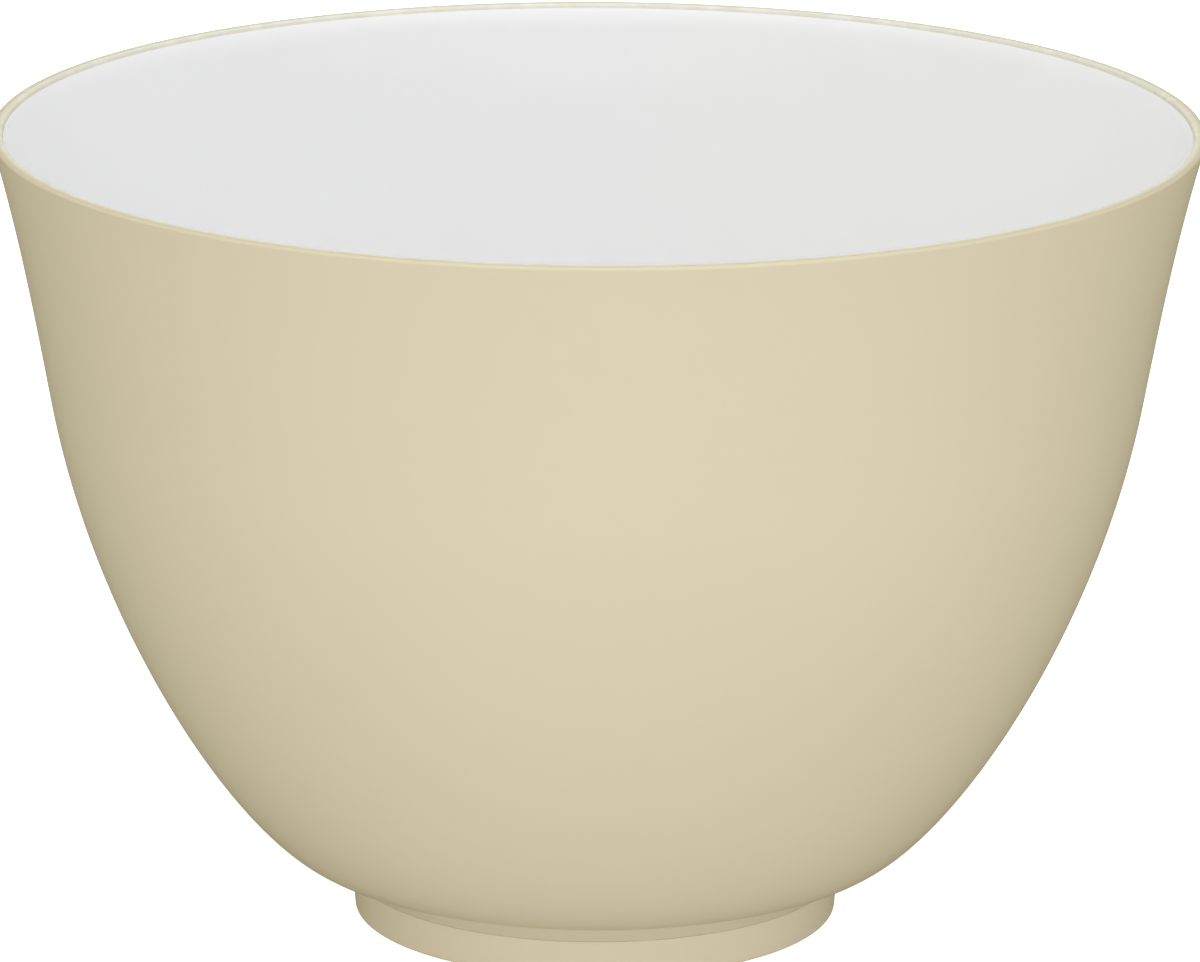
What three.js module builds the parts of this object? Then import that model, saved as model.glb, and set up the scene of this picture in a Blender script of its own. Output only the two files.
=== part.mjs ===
// Deep two-tone salad bowl on a low foot, in millimetres, +Z up.
// The foot stands on z = 0 and the bowl's axis is Z.
// Every piece is a turned solid. Its section is drawn with x out from the axis and y up the axis,
// anticlockwise, and is then carried round the axis.

import * as THREE from "three";

// Outer side of the wall. Slopes are degrees above the horizontal.
const rimDiameter = 250.4; // over the lip's round outer edge
const bowlHeight = 168.5;
const rimSlope = 74.5;
const flareHeight = 56.5; // from the shoulder, where the wall is steepest, up to the rim
const shoulderDiameter = 227;
const shoulderSlope = 80;
const baseOverhang = 9.55; // from the foot's edge out to where the belly starts to rise
const baseSlope = 13.2;

// How far each end of a wall curve runs on straight, as a share of the curve's chord
const flarePull = 1 / 3;
const bellyShoulderPull = 0.468;
const bellyHeelPull = 0.117;

// Layers of the wall
const shellWall = 1.2;
const bondLine = 0.2; // between the shell and the liner
const linerWall = 1;
const lipRounding = 0.6; // of the lip's two edges; its top is flat between them
const lipStraight = 0.85; // straight stretch of the lip's outer side, under its round edge

// Foot ring and the neck that it is set on
const footDiameter = 102.5; // across the seam between the foot and the neck
const footHeight = 8.1;
const footDraft = 5; // degrees that the foot's side leans in towards the table
const footBearing = 3; // width of the flat ring that stands on the table
const footOuterRounding = 1;
const footInnerRounding = 0.8;
const collarWall = 2; // the foot's collar stands inside the neck
const fitClearance = 0.3; // between the foot and the neck, on every side
const neckHeight = 3.4; // from the seam up to the base, at the foot's edge
const neckSlope = 60;
const neckCove = 2; // hollow curve between the neck and the base, along each of them

// Steps of the curves
const turnSteps = 64;
const baseSteps = 4;
const bellySteps = 12;
const flareSteps = 4;
const lipRoundingSteps = 4;
const coveSteps = 3;
const footRoundingSteps = 5;

const radians = THREE.MathUtils.degToRad;
const point = (x, y) => new THREE.Vector2(x, y);
const direction = (slope) => point(Math.cos(radians(slope)), Math.sin(radians(slope)));
const inwardOf = (upTheWall) => point(-upTheWall.y, upTheWall.x);
const moved = (start, way, distance) => start.clone().addScaledVector(way, distance);

const creamPlastic = { color: 0xd8cdb1, roughness: 0.42, metalness: 0 };
const whitePlastic = { color: 0xe9e9e7, roughness: 0.3, metalness: 0 };

// Base: a shallow dish, part of a sphere, that stands on the neck
const footRadius = footDiameter / 2;
const baseRadius = footRadius + baseOverhang;
const dishRadius = baseRadius / Math.sin(radians(baseSlope));
const dishRise = (x) => dishRadius - Math.sqrt(dishRadius ** 2 - x ** 2);
const neckBottom = footHeight + fitClearance;
const dishBottom = neckBottom + neckHeight - dishRise(footRadius);
const dishCentre = point(0, dishBottom + dishRadius);
const dishAt = (x) => point(x, dishBottom + dishRise(x));

// Lip: as thick as the layers together, leaning out with the wall, with a flat level top
const lipThickness = shellWall + bondLine + linerWall;
const lipFlat = (lipThickness - 2 * lipRounding) / Math.sin(radians(rimSlope));
const lipOuterCentre = point(rimDiameter / 2 - lipRounding, bowlHeight - lipRounding);
const lipInnerCentre = moved(lipOuterCentre, point(-1, 0), lipFlat);
const rimWay = direction(rimSlope);
const rimInward = inwardOf(rimWay);

// Wall: the belly rises from the dish to the shoulder, and the flare from there to the lip
const baseEdge = dishAt(baseRadius);
const shoulder = point(shoulderDiameter / 2, bowlHeight - flareHeight);
const lipFoot = moved(moved(lipOuterCentre, rimInward, -lipRounding), rimWay, -lipStraight);

function wallCurve(start, startSlope, startPull, end, endSlope, endPull) {
  const chord = start.distanceTo(end);
  const leaving = moved(start, direction(startSlope), startPull * chord);
  const arriving = moved(end, direction(endSlope), -endPull * chord);
  return new THREE.CubicBezierCurve(start, leaving, arriving, end);
}

const belly = wallCurve(baseEdge, baseSlope, bellyHeelPull, shoulder, shoulderSlope, bellyShoulderPull);
const flare = wallCurve(shoulder, shoulderSlope, flarePull, lipFoot, rimSlope, flarePull);

// A station is a place on the wall's outer side with the way into the wall there
function dishStations() {
  return Array.from({ length: baseSteps + 1 }, (_, step) => {
    const slope = (baseSlope * step) / baseSteps;
    return { at: dishAt(dishRadius * Math.sin(radians(slope))), inward: inwardOf(direction(slope)) };
  });
}

function curveStations(curve, steps) {
  return Array.from({ length: steps }, (_, step) => {
    const share = (step + 1) / steps;
    return { at: curve.getPoint(share), inward: inwardOf(curve.getTangent(share)) };
  });
}

const sideStations = [...curveStations(belly, bellySteps), ...curveStations(flare, flareSteps)];
const wallStations = [...dishStations(), ...sideStations];

// The wall's section at a depth into it, from the axis up to the lip
const layer = (stations, depth) => stations.map(({ at, inward }) => moved(at, inward, depth));

function turned(name, section, material) {
  const geometry = new THREE.LatheGeometry(section, turnSteps).rotateX(Math.PI / 2);
  const mesh = new THREE.Mesh(geometry, new THREE.MeshStandardMaterial(material));
  mesh.name = name;
  return mesh;
}

// Foot ring: an upright ring with a round lower edge, and a collar inside that centres it in the neck
const draft = radians(footDraft);
const roundingTop = footOuterRounding * (1 - Math.sin(draft));
const sideBottom = footRadius - (footHeight - roundingTop) * Math.tan(draft);
const bearingRadius = sideBottom - footOuterRounding * Math.cos(draft);
const footInnerRadius = bearingRadius - footBearing - footInnerRounding;
const collarRadius = footInnerRadius + collarWall;
const collarTop = dishAt(footInnerRadius).y - fitClearance;

function footRing() {
  const outerRounding = new THREE.EllipseCurve(
    bearingRadius, footOuterRounding, footOuterRounding, footOuterRounding, -Math.PI / 2, -draft,
  );
  const innerRounding = new THREE.EllipseCurve(
    footInnerRadius + footInnerRounding, footInnerRounding, footInnerRounding, footInnerRounding,
    Math.PI, Math.PI * 1.5,
  );
  const section = [
    ...outerRounding.getPoints(footRoundingSteps),
    point(footRadius, footHeight),
    point(collarRadius, footHeight),
    point(collarRadius, collarTop),
    point(footInnerRadius, collarTop),
    ...innerRounding.getPoints(footRoundingSteps),
  ];
  return turned("foot_ring", [...section, section[0]], creamPlastic);
}

// Outer shell: the base with its neck, the wall, and the lip that covers the liner's edge
function undersideSection() {
  const neckInnerRadius = collarRadius + fitClearance;
  const neckEdge = point(footRadius, neckBottom);
  const neckWay = direction(neckSlope);
  // The neck's side runs straight from its lower edge to where it enters the dish's circle
  const fromCentre = neckEdge.clone().sub(dishCentre);
  const closing = -fromCentre.dot(neckWay);
  const neckLength = closing - Math.sqrt(closing ** 2 - fromCentre.lengthSq() + dishRadius ** 2);
  const corner = moved(neckEdge, neckWay, neckLength);
  const coveStart = moved(corner, neckWay, -neckCove);
  const cove = new THREE.QuadraticBezierCurve(coveStart, corner, dishAt(corner.x + neckCove));
  return [
    ...Array.from({ length: baseSteps + 1 }, (_, step) => dishAt((neckInnerRadius * step) / baseSteps)),
    point(neckInnerRadius, neckBottom),
    neckEdge,
    ...cove.getPoints(coveSteps),
  ];
}

function outerShell() {
  const outerRounding = new THREE.EllipseCurve(
    lipOuterCentre.x, lipOuterCentre.y, lipRounding, lipRounding, radians(rimSlope - 90), Math.PI / 2,
  );
  const innerRounding = new THREE.EllipseCurve(
    lipInnerCentre.x, lipInnerCentre.y, lipRounding, lipRounding, Math.PI / 2, radians(rimSlope + 90),
  );
  const section = [
    ...undersideSection(),
    baseEdge,
    ...layer(sideStations, 0),
    ...outerRounding.getPoints(lipRoundingSteps),
    ...innerRounding.getPoints(lipRoundingSteps),
    moved(lipFoot, rimInward, lipThickness),
    ...layer(wallStations, shellWall).reverse(),
  ];
  return turned("outer_shell", section, creamPlastic);
}

// Inner liner: follows the shell from the axis up to just under the lip
function innerLiner() {
  const top = { at: moved(lipFoot, rimWay, -bondLine), inward: rimInward };
  const stations = [...wallStations.slice(0, -1), top];
  const section = [
    ...layer(stations, shellWall + bondLine),
    ...layer(stations, lipThickness).reverse(),
  ];
  return turned("inner_liner", section, whitePlastic);
}

const bowl = new THREE.Group();
bowl.add(outerShell(), innerLiner(), footRing());

export default bowl;
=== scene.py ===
import math
import bpy
import numpy as np
from mathutils import Matrix, Vector


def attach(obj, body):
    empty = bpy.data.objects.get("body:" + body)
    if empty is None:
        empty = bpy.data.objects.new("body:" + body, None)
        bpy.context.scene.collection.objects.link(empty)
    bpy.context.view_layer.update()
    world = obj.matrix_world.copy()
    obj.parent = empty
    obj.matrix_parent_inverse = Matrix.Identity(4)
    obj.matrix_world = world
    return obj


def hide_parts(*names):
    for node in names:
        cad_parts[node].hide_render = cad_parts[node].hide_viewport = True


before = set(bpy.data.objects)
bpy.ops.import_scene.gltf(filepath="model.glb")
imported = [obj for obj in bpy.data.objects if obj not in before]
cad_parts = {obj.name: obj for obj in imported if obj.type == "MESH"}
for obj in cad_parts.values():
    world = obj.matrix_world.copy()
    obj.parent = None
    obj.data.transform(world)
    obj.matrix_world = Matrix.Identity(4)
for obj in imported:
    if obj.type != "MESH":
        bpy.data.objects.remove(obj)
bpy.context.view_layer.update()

print("frame loaded:", ", ".join(sorted(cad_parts)))

mm = 0.001
scene = bpy.context.scene


# profiles: arrays of (distance from the axis, height) in mm

def way(slope):  # unit step up a line that stands at this slope, in degrees
    return np.array([math.cos(math.radians(slope)), math.sin(math.radians(slope))])


def leftOf(step):  # the step turned a quarter anticlockwise
    return np.stack([-step[..., 1], step[..., 0]], axis=-1)


# cubic curve: each end leaves its point along its slope for a share of the chord
def wallBend(start, startSlope, startPull, end, endSlope, endPull, count):
    chord = np.linalg.norm(end - start)
    p1 = start + way(startSlope) * startPull * chord
    p2 = end - way(endSlope) * endPull * chord
    t = np.linspace(0, 1, count)[:, None]
    s = 1 - t
    places = s**3 * start + 3 * s**2 * t * p1 + 3 * s * t**2 * p2 + t**3 * end
    steps = s**2 * (p1 - start) + 2 * s * t * (p2 - p1) + t**2 * (end - p2)
    return places, steps / np.linalg.norm(steps, axis=1)[:, None]


# arc: centre plus radius times (cos, sin) of evenly spaced angles
def roundArc(centre, radius, startAngle, endAngle, count):
    angle = np.radians(np.linspace(startAngle, endAngle, count))
    return centre + radius * np.stack([np.cos(angle), np.sin(angle)], axis=1)


# corner rounded by a circle that touches both of its sides, at the tangent length radius * tan(turn / 2)
def softCorner(before, corner, after, radius, count):
    into = (corner - before) / np.linalg.norm(corner - before)
    out = (after - corner) / np.linalg.norm(after - corner)
    turn = math.atan2(into[0] * out[1] - into[1] * out[0], float(into @ out))
    start = corner - into * radius * math.tan(abs(turn) / 2)
    side = math.copysign(1.0, turn)
    centre = start + side * radius * leftOf(into)
    first = math.degrees(math.atan2(*(start - centre)[::-1]))
    return roundArc(centre, radius, first, first + math.degrees(turn), count)


# outline of straight sides with each corner rounded by its own radius, the sides split into short steps
def softOutline(corners, radii, count, stepLength, closed=True):
    points = np.array(corners, dtype=float)
    last = len(points)
    arcs = []
    for place in range(last) if closed else range(1, last - 1):
        following = points[(place + 1) % last]
        arcs.append(softCorner(points[place - 1], points[place], following, radii[place], count))
    if not closed:
        arcs = [points[:1]] + arcs + [points[-1:]]
    pieces = []
    for place, arc in enumerate(arcs):
        pieces.append(arc)
        if closed or place < len(arcs) - 1:
            gap = arcs[(place + 1) % len(arcs)][0] - arc[-1]
            share = np.linspace(0, 1, max(2, int(np.linalg.norm(gap) / stepLength) + 1))[1:-1, None]
            pieces.append(arc[-1] + gap * share)
    return np.concatenate(pieces)


turning = {"turns": 240, "leastStep": 1e-6, "sharpAngle": 35.0}  # steps round the axis, mm and degrees


# profile carried round the axis: x = r cos a, y = r sin a, z = height. An end on the axis becomes one pole,
# and a closed profile joins its last ring to its first
def carryRound(name, profile, closed):
    turns = turning["turns"]
    keep = np.ones(len(profile), dtype=bool)
    keep[1:] = np.linalg.norm(np.diff(profile, axis=0), axis=1) > turning["leastStep"]
    profile = profile[keep] * mm
    rings = profile if closed else profile[1:-1]
    angle = np.linspace(0, 2 * np.pi, turns, endpoint=False)
    r, z = rings[:, :1], rings[:, 1:]
    grid = np.stack([r * np.cos(angle), r * np.sin(angle), z + 0 * angle], axis=2).reshape(-1, 3)
    count = len(rings)
    ring = np.arange(count if closed else count - 1)[:, None]
    step = np.arange(turns)[None, :]
    nextRing, nextStep = (ring + 1) % count, (step + 1) % turns
    faces = np.stack([ring * turns + step, ring * turns + nextStep,
                      nextRing * turns + nextStep, nextRing * turns + step], axis=2).reshape(-1, 4).tolist()
    if not closed:
        low, high = len(grid), len(grid) + 1
        grid = np.concatenate([grid, [[0, 0, profile[0, 1]], [0, 0, profile[-1, 1]]]])
        first, top = np.arange(turns), (count - 1) * turns + np.arange(turns)
        faces += np.stack([np.full(turns, low), np.roll(first, -1), first], axis=1).tolist()
        faces += np.stack([np.full(turns, high), top, np.roll(top, -1)], axis=1).tolist()
    mesh = bpy.data.meshes.new(name)
    mesh.from_pydata(grid, [], faces)
    mesh.validate()
    mesh.shade_smooth()
    mesh.set_sharp_from_angle(angle=math.radians(turning["sharpAngle"]))
    piece = bpy.data.objects.new(name, mesh)
    scene.collection.objects.link(piece)
    print(name, len(mesh.vertices), "points")
    return piece


# the bowl's section

bowlWall = {  # outer side of the wall, mm and degrees above the horizontal
    "rimDiameter": 250.4, "height": 168.5, "rimSlope": 74.5,
    "flareHeight": 56.5, "shoulderDiameter": 227.0, "shoulderSlope": 80.0,
    "baseOverhang": 9.55, "baseSlope": 13.2,
    "flarePull": 1 / 3, "shoulderPull": 0.468, "heelPull": 0.117,
    "shellWall": 1.2, "bondLine": 0.2, "linerWall": 1.0,
    "lipRounding": 0.6, "lipStraight": 0.85,
    "linerGap": 0.01, "linerGapReach": 1.0,  # hairline under the lip, and how far down the liner it is taken
    "flareSteps": 56, "bellySteps": 110, "dishSteps": 24, "lipSteps": 13, "undersideSteps": 16, "heelSteps": 6,
    "hiddenEvery": 6,  # one ring in so many on the faces that the wall hides
}
bowlFoot = {
    "diameter": 102.5, "height": 8.1, "draft": 5.0, "bearing": 3.0,
    "outerRounding": 1.0, "innerRounding": 0.8, "topRounding": 0.15,
    "collarWall": 2.0, "collarRounding": 0.4, "collarHollow": 0.2, "fit": 0.3, "seam": 0.02,
    "roundingSteps": 13, "sideStep": 0.6,
}
bowlNeck = {
    "height": 3.4, "slope": 60.0, "cove": 4.2, "rounding": 0.15, "innerCove": 0.4,
    "insideReach": 1.5, "outsideReach": 3.5,  # how far its outline takes in the dish on either side
    "roundingSteps": 9, "sideStep": 0.5,
}

footRadius = bowlFoot["diameter"] / 2
baseRadius = footRadius + bowlWall["baseOverhang"]
dishRadius = baseRadius / math.sin(math.radians(bowlWall["baseSlope"]))
seamHeight = bowlFoot["height"] + bowlFoot["fit"]  # the neck's lower edge in the CAD, from which the dish is placed


def dishRise(r):  # height gained on the dish's sphere at a distance from the axis
    return dishRadius - np.sqrt(dishRadius**2 - np.square(r))


dishBottom = seamHeight + bowlNeck["height"] - dishRise(footRadius)


def dishAt(r):  # places on the dish at distances from the axis
    r = np.asarray(r, dtype=float)
    return np.stack([r, dishBottom + dishRise(r)], axis=-1)


def dishWays(r):  # unit steps outward along the dish
    sine = np.asarray(r, dtype=float) / dishRadius
    return np.stack([np.sqrt(1 - sine**2), sine], axis=-1)


lipThickness = bowlWall["shellWall"] + bowlWall["bondLine"] + bowlWall["linerWall"]
lipRounding = bowlWall["lipRounding"]
lipFlat = (lipThickness - 2 * lipRounding) / math.sin(math.radians(bowlWall["rimSlope"]))
lipOuterCentre = np.array([bowlWall["rimDiameter"] / 2, bowlWall["height"]]) - lipRounding
lipInnerCentre = lipOuterCentre - np.array([lipFlat, 0])
rimWay = way(bowlWall["rimSlope"])
rimInward = leftOf(rimWay)
lipFoot = lipOuterCentre - rimInward * lipRounding - rimWay * bowlWall["lipStraight"]
shoulder = np.array([bowlWall["shoulderDiameter"] / 2, bowlWall["height"] - bowlWall["flareHeight"]])
belly = wallBend(dishAt(baseRadius), bowlWall["baseSlope"], bowlWall["heelPull"],
                 shoulder, bowlWall["shoulderSlope"], bowlWall["shoulderPull"], bowlWall["bellySteps"])
flare = wallBend(shoulder, bowlWall["shoulderSlope"], bowlWall["flarePull"],
                 lipFoot, bowlWall["rimSlope"], bowlWall["flarePull"], bowlWall["flareSteps"])


# the wall's section at a depth into it, from the axis to the lip: each place moved along its inward side
def wallLayer(depth, every=1):
    r = np.linspace(0, baseRadius, bowlWall["dishSteps"])
    places = np.concatenate([dishAt(r), belly[0][1:], flare[0][1:]])
    steps = np.concatenate([dishWays(r), belly[1][1:], flare[1][1:]])
    layer = places + leftOf(steps) * depth
    return np.concatenate([layer[:-1:every], layer[-1:]])


# neck: straight from the foot's edge up to where it enters the dish's circle, with a hollow curve there.
# Its outline starts and ends on the dish
def neckOutline():
    innerRadius = footInnerRadius() + bowlFoot["collarWall"] + bowlFoot["fit"]
    bottom = bowlFoot["height"] + bowlFoot["seam"]
    edge = np.array([footRadius, bottom])
    lean = way(bowlNeck["slope"])
    out = edge - np.array([0, dishBottom + dishRadius])
    closing = -out @ lean
    corner = edge + lean * (closing - math.sqrt(closing**2 - out @ out + dishRadius**2))
    inside = dishAt(innerRadius - bowlNeck["insideReach"])
    outside = dishAt(corner[0] + bowlNeck["outsideReach"])
    corners = [inside, dishAt(innerRadius), [innerRadius, bottom], edge, corner, outside]
    radii = [0, bowlNeck["innerCove"], bowlNeck["rounding"], bowlNeck["rounding"], bowlNeck["cove"], 0]
    return softOutline(corners, radii, bowlNeck["roundingSteps"], bowlNeck["sideStep"], closed=False)


# shell: underside of the dish, neck, belly, flare, flat lip with two round edges, and back down behind the liner
def makeOuterShell():
    neck = neckOutline()
    profile = np.concatenate([
        dishAt(np.linspace(0, neck[0, 0], bowlWall["undersideSteps"])),
        neck,
        dishAt(np.linspace(neck[-1, 0], baseRadius, bowlWall["heelSteps"])),
        belly[0][1:],
        flare[0][1:],
        roundArc(lipOuterCentre, lipRounding, bowlWall["rimSlope"] - 90, 90, bowlWall["lipSteps"]),
        roundArc(lipInnerCentre, lipRounding, 90, bowlWall["rimSlope"] + 90, bowlWall["lipSteps"]),
        [lipFoot + rimInward * lipThickness],
        wallLayer(bowlWall["shellWall"], bowlWall["hiddenEvery"])[::-1],
    ])
    return carryRound("outerShell", profile, closed=False)


# liner: its two faces at their depths in the wall, closed by a flat edge just under the lip
def makeInnerLiner():
    backDepth = bowlWall["shellWall"] + bowlWall["bondLine"]
    profile = np.concatenate([wallLayer(backDepth, bowlWall["hiddenEvery"]), wallLayer(lipThickness)[::-1]])
    profile[:, 1] -= bowlWall["linerGap"] * (profile[:, 1] > lipFoot[1] - bowlWall["linerGapReach"])
    return carryRound("innerLiner", profile, closed=False)


def footSideAt(height):  # the foot's leaning side, before its lower edge is rounded
    return footRadius - (bowlFoot["height"] - height) * math.tan(math.radians(bowlFoot["draft"]))


def footInnerRadius():  # inward from the side: the lower edge's rounding, the bearing ring, the inner rounding
    draft = math.radians(bowlFoot["draft"])
    rounding = bowlFoot["outerRounding"]
    bearingEdge = footSideAt(rounding * (1 - math.sin(draft))) - rounding * math.cos(draft)
    return bearingEdge - bowlFoot["bearing"] - bowlFoot["innerRounding"]


# foot: straight sides with rounded corners, and the collar that stands inside the neck
def makeFootRing():
    inner = footInnerRadius()
    collar = inner + bowlFoot["collarWall"]
    collarTop = float(dishAt(inner)[1]) - bowlFoot["fit"]
    top = bowlFoot["height"]
    corners = [[footSideAt(0), 0], [footRadius, top], [collar, top],
               [collar, collarTop], [inner, collarTop], [inner, 0]]
    radii = [bowlFoot["outerRounding"], bowlFoot["topRounding"], bowlFoot["collarHollow"],
             bowlFoot["collarRounding"], bowlFoot["collarRounding"], bowlFoot["innerRounding"]]
    profile = softOutline(corners, radii, bowlFoot["roundingSteps"], bowlFoot["sideStep"])
    return carryRound("footRing", profile, closed=True)


shell, liner, foot = makeOuterShell(), makeInnerLiner(), makeFootRing()
print("pieces made")


# finishes

# group of nodes with these sockets, each a label, a direction and a kind
def newGroup(name, sockets):
    group = bpy.data.node_groups.new(name, "ShaderNodeTree")
    for label, direction, kind in sockets:
        group.interface.new_socket(label, in_out=direction, socket_type="NodeSocket" + kind)
    return group, group.nodes.new("NodeGroupInput"), group.nodes.new("NodeGroupOutput")


# a setting is a plain number, or the output of another node
def setOrLink(links, setting, socket):
    if isinstance(setting, (int, float)):
        socket.default_value = setting
    else:
        links.new(setting, socket)


# cloudy noise from 0 to 1, with so many cells to a metre
def addNoise(nodes, links, coordinates, scale, detail):
    noise = nodes.new("ShaderNodeTexNoise")
    noise.inputs["Detail"].default_value = detail
    links.new(coordinates, noise.inputs["Vector"])
    setOrLink(links, scale, noise.inputs["Scale"])
    return noise.outputs["Fac"]


# smooth ramp: low becomes newLow and high becomes newHigh
def addRange(nodes, links, value, low, high, newLow, newHigh):
    ramp = nodes.new("ShaderNodeMapRange")
    ramp.interpolation_type = "SMOOTHSTEP"
    links.new(value, ramp.inputs["Value"])
    for label, setting in (("From Min", low), ("From Max", high), ("To Min", newLow), ("To Max", newHigh)):
        setOrLink(links, setting, ramp.inputs[label])
    return ramp.outputs["Result"]


# the settings taken through one operation, in their order
def addMath(nodes, links, operation, *settings):
    result = nodes.new("ShaderNodeMath")
    result.operation = operation
    for place, setting in enumerate(settings):
        setOrLink(links, setting, result.inputs[place])
    return result.outputs[0]


# the first colour at a share of 0, the second at a share of 1
def mixColor(nodes, links, share, first, second):
    mix = nodes.new("ShaderNodeMix")
    mix.data_type = "RGBA"
    links.new(share, mix.inputs["Factor"])
    for socket, color in ((mix.inputs["A"], first), (mix.inputs["B"], second)):
        if isinstance(color, (tuple, list)):
            socket.default_value = (*color, 1.0)
        else:
            links.new(color, socket)
    return mix.outputs["Result"]


skinPattern = {
    "cloudDetail": 3.0, "cloudFrom": 0.3, "cloudTo": 0.7, "swellScale": 70.0, "swellDetail": 1.0,
    "rippleDetail": 2.0, "rippleShare": 0.25, "bumpDepth": 0.2,
}
bandStreaks = {"streakScale": 260.0, "streakDetail": 5.0, "streakFrom": 0.42, "streakTo": 0.68, "streakFaint": 0.75}


# moulded skin: soft clouds of tone, and a height of fine ripple with a slower swell under it
def mouldedSkin():
    group, given, made = newGroup("mouldedSkin", [
        ("Vector", "INPUT", "Vector"), ("Cloud Scale", "INPUT", "Float"), ("Ripple Scale", "INPUT", "Float"),
        ("Cloud", "OUTPUT", "Float"), ("Height", "OUTPUT", "Float")])
    nodes, links, place = group.nodes, group.links, given.outputs["Vector"]
    cloud = addNoise(nodes, links, place, given.outputs["Cloud Scale"], skinPattern["cloudDetail"])
    ripple = addNoise(nodes, links, place, given.outputs["Ripple Scale"], skinPattern["rippleDetail"])
    swell = addNoise(nodes, links, place, skinPattern["swellScale"], skinPattern["swellDetail"])
    soft = addRange(nodes, links, cloud, skinPattern["cloudFrom"], skinPattern["cloudTo"], 0.0, 1.0)
    height = addMath(nodes, links, "MULTIPLY_ADD", ripple, skinPattern["rippleShare"], swell)
    links.new(soft, made.inputs["Cloud"])
    links.new(height, made.inputs["Height"])
    return group


# rubbing and painted light: a mask that is strongest at one height, fades outward from the axis, and is broken up
# by streaks.
# On the shell's lip it paints a highlight, on the foot's lower edge it is rubbing wear, in the liner it greys the
# floor
def rubAndPaintedLightBand():
    group, given, made = newGroup("rubAndPaintedLightBand", [
        ("Vector", "INPUT", "Vector"), ("Full Height", "INPUT", "Float"), ("Clear Height", "INPUT", "Float"),
        ("Full Radius", "INPUT", "Float"), ("Clear Radius", "INPUT", "Float"), ("Rub And Painted Light", "OUTPUT", "Float")])
    nodes, links, asked = group.nodes, group.links, given.outputs
    split = nodes.new("ShaderNodeSeparateXYZ")
    links.new(asked["Vector"], split.inputs[0])
    band = addRange(nodes, links, split.outputs["Z"], asked["Full Height"], asked["Clear Height"], 1.0, 0.0)
    flat = nodes.new("ShaderNodeCombineXYZ")
    links.new(split.outputs["X"], flat.inputs["X"])
    links.new(split.outputs["Y"], flat.inputs["Y"])
    radius = nodes.new("ShaderNodeVectorMath")
    radius.operation = "LENGTH"
    links.new(flat.outputs[0], radius.inputs[0])
    ring = addRange(nodes, links, radius.outputs["Value"], asked["Full Radius"], asked["Clear Radius"], 1.0, 0.0)
    noise = addNoise(nodes, links, asked["Vector"], bandStreaks["streakScale"], bandStreaks["streakDetail"])
    streaks = addRange(nodes, links, noise, bandStreaks["streakFrom"], bandStreaks["streakTo"],
                       bandStreaks["streakFaint"], 1.0)
    ringBand = addMath(nodes, links, "MULTIPLY", band, ring)
    links.new(addMath(nodes, links, "MULTIPLY", ringBand, streaks), made.inputs["Rub And Painted Light"])
    return group


skinGroup, rubAndPaintedLightGroup = mouldedSkin(), rubAndPaintedLightBand()


# moulded plastic: clouded colour and roughness, another tone in one band (a painted highlight on the shell's lip,
# rubbing wear on the foot's lower edge, a greyer floor in the liner), with a fine bump, under a thin coat whose
# tint paints shade toward the silhouettes
def mouldedPlastic(finish):
    material = bpy.data.materials.new(finish["name"])
    material.use_nodes = True
    nodes, links = material.node_tree.nodes, material.node_tree.links
    surface = nodes["Principled BSDF"]
    place = nodes.new("ShaderNodeTexCoord").outputs["Object"]
    # band node: painted highlight on the shell's lip, rubbing wear on the foot, a greyer floor in the liner
    skin, rub = nodes.new("ShaderNodeGroup"), nodes.new("ShaderNodeGroup")
    skin.node_tree, rub.node_tree = skinGroup, rubAndPaintedLightGroup
    links.new(place, skin.inputs["Vector"])
    links.new(place, rub.inputs["Vector"])
    skin.inputs["Cloud Scale"].default_value = finish["cloudScale"]
    skin.inputs["Ripple Scale"].default_value = finish["rippleScale"]
    rub.inputs["Full Height"].default_value = finish["bandFull"] * mm
    rub.inputs["Clear Height"].default_value = finish["bandClear"] * mm
    rub.inputs["Full Radius"].default_value = finish["bandInside"] * mm
    rub.inputs["Clear Radius"].default_value = finish["bandOutside"] * mm
    cloud, rubAndPaintedLight = skin.outputs["Cloud"], rub.outputs["Rub And Painted Light"]
    clouded = mixColor(nodes, links, cloud, finish["color"], finish["cloudColor"])
    # the band's colour: a painted highlight on the shell's lip, rubbing wear on the foot, a greyer floor in the
    # liner
    links.new(mixColor(nodes, links, rubAndPaintedLight, clouded, finish["rubAndPaintedLightColor"]), surface.inputs["Base Color"])
    rough = addRange(nodes, links, cloud, 0.0, 1.0, *finish["roughness"])
    worn = addMath(nodes, links, "MULTIPLY_ADD", rubAndPaintedLight, finish["bandRoughness"], rough)
    links.new(worn, surface.inputs["Roughness"])
    bump = nodes.new("ShaderNodeBump")
    bump.inputs["Strength"].default_value = finish["bump"]
    bump.inputs["Distance"].default_value = skinPattern["bumpDepth"] * mm
    links.new(skin.outputs["Height"], bump.inputs["Height"])
    links.new(bump.outputs["Normal"], surface.inputs["Normal"])
    surface.inputs["Specular IOR Level"].default_value = finish["gloss"]
    # coat: its tint yellows the plastic a little all over and paints shade toward the silhouettes, darker and
    # yellower at grazing angles
    surface.inputs["Coat Weight"].default_value = finish["edgeShadeWeight"]
    surface.inputs["Coat Roughness"].default_value = finish["skinRoughness"]
    surface.inputs["Coat IOR"].default_value = 1.0  # the skin only tints, the gloss is the plastic's own
    surface.inputs["Coat Tint"].default_value = (*finish["edgeShadeTint"], 1.0)
    print("finish", finish["name"])
    return material
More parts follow.
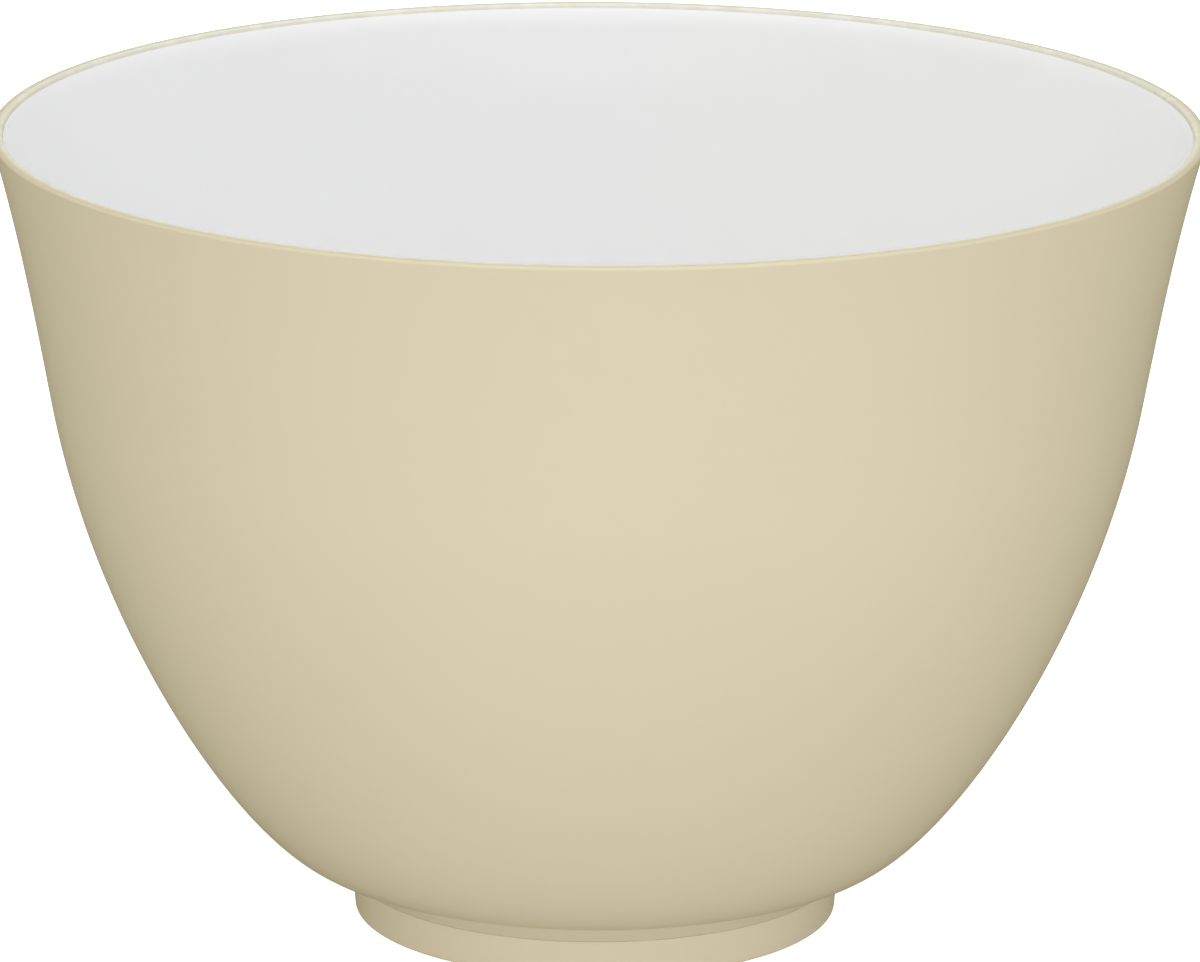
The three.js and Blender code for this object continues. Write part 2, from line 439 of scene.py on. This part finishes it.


# heights and distances from the axis of the band are in mm. The shell's band paints a highlight on the lip's top;
# the foot's band is rubbing wear at its lower edge; the liner's band makes it a little greyer toward its floor
creamShell = {
    "name": "creamShell", "color": (0.548, 0.488, 0.367), "cloudColor": (0.54, 0.481, 0.362),
    # the coat's tint paints shade, darker and yellower toward the silhouettes
    "edgeShadeWeight": 0.25, "skinRoughness": 0.45, "edgeShadeTint": (0.975, 0.96, 0.79),
    # the pale band on the lip's top is a painted highlight, broken up by streaks
    "rubAndPaintedLightColor": (0.735, 0.735, 0.69), "roughness": (0.42, 0.46), "bandRoughness": -0.05, "bump": 0.03,
    "cloudScale": 14.0, "rippleScale": 900.0, "bandFull": 168.5, "bandClear": 165.6,
    "bandInside": 123.2, "bandOutside": 125.0, "gloss": 0.25,
}
# the foot is the shell's cream made paler: painted light on the foot. Its band at the lower edge is rubbing wear
paintedLitCreamFoot = dict(creamShell, name="paintedLitCreamFoot", color=(0.608, 0.542, 0.411), cloudColor=(0.6, 0.535, 0.406),
                 bandFull=0.0, bandClear=2.4, bandInside=150.0, bandOutside=200.0,
                 bandRoughness=0.15, rubAndPaintedLightColor=(0.595, 0.536, 0.414))
whiteLiner = {
    "name": "whiteLiner", "color": (0.865, 0.865, 0.865), "cloudColor": (0.858, 0.858, 0.858),
    "edgeShadeWeight": 0.0, "skinRoughness": 0.2, "edgeShadeTint": (1.0, 1.0, 1.0),
    # the liner is a little greyer toward its floor, fully below 10.5 mm and fading out by 28.5 mm
    "rubAndPaintedLightColor": (0.8, 0.8, 0.8), "roughness": (0.2, 0.24), "bandRoughness": 0.02, "bump": 0.02,
    "cloudScale": 11.0, "rippleScale": 700.0, "bandFull": 10.5, "bandClear": 28.5,
    "bandInside": 200.0, "bandOutside": 300.0, "gloss": 0.5,
}

for piece, node, finish in ((shell, "outer_shell", creamShell), (liner, "inner_liner", whiteLiner),
                            (foot, "foot_ring", paintedLitCreamFoot)):
    piece.data.materials.append(mouldedPlastic(finish))
    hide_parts(node)
    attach(piece, "root")


# studio: a pale table that reads as white in the picture, soft panels and an even sky

studio = {
    "floorRadius": 6.0, "floorSides": 96, "floorDrop": 0.05, "floorRoughness": 0.8,  # m, but the drop in mm
    "floorColor": (0.5, 0.5, 0.5), "floorMirror": (0.2, 0.2, 0.2), "floorWhite": (0.9, 0.9, 0.9),
    "floorGlow": (0.31, 0.31, 0.31), "floorMirrorGlow": (0.03, 0.03, 0.03),
    "sky": 0.71, "skyColor": (1.0, 1.0, 1.0), "skyFrontMirror": (0.1, 0.1, 0.1), "skyBlend": 0.3,
}
panels = {  # places and sizes in m
    "top": {"place": (0.0, -1.2, 2.6), "size": (3.0, 2.0), "aim": (0.0, -1.2, 0.0),
            "power": 40.0, "color": (1.0, 1.0, 1.0), "mirrored": True},
    "low": {"place": (0.22, -3.0, 0.165), "size": (4.9, 0.13), "aim": (0.0, 0.0, 0.165),
            "power": 50.0, "color": (1.0, 1.0, 1.0), "mirrored": True},
    "left": {"place": (-2.6, -1.0, 1.2), "size": (1.4, 1.4), "aim": (0.0, 0.0, 0.12),
             "power": 5.0, "color": (1.0, 0.97, 0.72), "mirrored": False},
    "right": {"place": (2.6, -1.0, 1.2), "size": (1.4, 1.4), "aim": (0.0, 0.0, 0.12),
              "power": 5.0, "color": (0.94, 0.97, 1.2), "mirrored": False},
}


# table: a flat disc that glows a little. Seen directly it is white, and seen in the plastic's gloss it is dim
def makeFloor():
    sides = studio["floorSides"]
    angle = np.linspace(0, 2 * np.pi, sides, endpoint=False)
    edge = np.stack([np.cos(angle), np.sin(angle), 0 * angle], axis=1) * studio["floorRadius"]
    edge[:, 2] -= studio["floorDrop"] * mm  # just clear of the foot's bearing face
    mesh = bpy.data.meshes.new("floor")
    mesh.from_pydata(edge, [], [list(range(sides))])
    floor = bpy.data.objects.new("floor", mesh)
    scene.collection.objects.link(floor)
    material = bpy.data.materials.new("paleTable")
    material.use_nodes = True
    nodes, links = material.node_tree.nodes, material.node_tree.links
    surface = nodes["Principled BSDF"]
    surface.inputs["Roughness"].default_value = studio["floorRoughness"]
    surface.inputs["Emission Strength"].default_value = 1.0
    path = nodes.new("ShaderNodeLightPath").outputs
    tone = mixColor(nodes, links, path["Is Glossy Ray"], studio["floorColor"], studio["floorMirror"])
    dim = mixColor(nodes, links, path["Is Glossy Ray"], studio["floorGlow"], studio["floorMirrorGlow"])
    glow = mixColor(nodes, links, path["Is Camera Ray"], dim, studio["floorWhite"])
    links.new(tone, surface.inputs["Base Color"])
    links.new(glow, surface.inputs["Emission Color"])
    mesh.materials.append(material)


# panel: a soft rectangle of light turned to its aim. One that isn't mirrored leaves no highlight in the gloss
def makePanel(name, panel):
    lamp = bpy.data.lights.new(name + "Panel", "AREA")
    lamp.shape = "RECTANGLE"
    lamp.size, lamp.size_y = panel["size"]
    lamp.energy = panel["power"]
    lamp.color = panel["color"]
    lampObject = bpy.data.objects.new(name + "Panel", lamp)
    lampObject.location = panel["place"]
    aim = Vector(panel["aim"]) - lampObject.location
    lampObject.rotation_euler = aim.to_track_quat("-Z", "Y").to_euler()
    lampObject.visible_glossy = panel["mirrored"]
    scene.collection.objects.link(lampObject)


# sky: even light all round. Seen in the plastic's gloss its front half is dim
def makeSky():
    world = bpy.data.worlds.new("evenSky")
    world.use_nodes = True
    nodes, links = world.node_tree.nodes, world.node_tree.links
    split = nodes.new("ShaderNodeSeparateXYZ")
    links.new(nodes.new("ShaderNodeTexCoord").outputs["Generated"], split.inputs[0])
    front = addRange(nodes, links, split.outputs["Y"], -studio["skyBlend"], studio["skyBlend"], 1.0, 0.0)
    glossy = nodes.new("ShaderNodeLightPath").outputs["Is Glossy Ray"]
    share = addMath(nodes, links, "MULTIPLY", front, glossy)
    tone = mixColor(nodes, links, share, studio["skyColor"], studio["skyFrontMirror"])
    background = nodes["Background"]
    links.new(tone, background.inputs["Color"])
    background.inputs["Strength"].default_value = studio["sky"]
    scene.world = world


makeFloor()
for name, panel in panels.items():
    makePanel(name, panel)
makeSky()
scene.view_settings.view_transform = "Standard"
print("studio lit")


# camera fitted to the photograph: in front, looking down, with a slight roll

photoView = {
    "place": (0.0, -1681.7, 544.6), "pitch": 15.0495, "turn": -0.0232, "roll": 0.2658,
    "focalPixels": 8339.7, "imageWidth": 1200, "sensorWidth": 36.0, "reach": 100.0,
}


# lens: focal length in pixels over the image's width in pixels, times the sensor's width
def makeCamera():
    lens = bpy.data.cameras.new("photoView")
    lens.sensor_fit = "HORIZONTAL"
    lens.sensor_width = photoView["sensorWidth"]
    lens.lens = photoView["focalPixels"] / photoView["imageWidth"] * photoView["sensorWidth"]
    lens.clip_end = photoView["reach"]
    camera = bpy.data.objects.new("photoView", lens)
    turned = (Matrix.Rotation(math.radians(photoView["turn"]), 4, "Z")
              @ Matrix.Rotation(math.radians(90 - photoView["pitch"]), 4, "X")
              @ Matrix.Rotation(math.radians(photoView["roll"]), 4, "Z"))
    camera.matrix_world = Matrix.Translation(Vector(photoView["place"]) * mm) @ turned
    scene.collection.objects.link(camera)
    scene.camera = camera


makeCamera()
print("camera set")
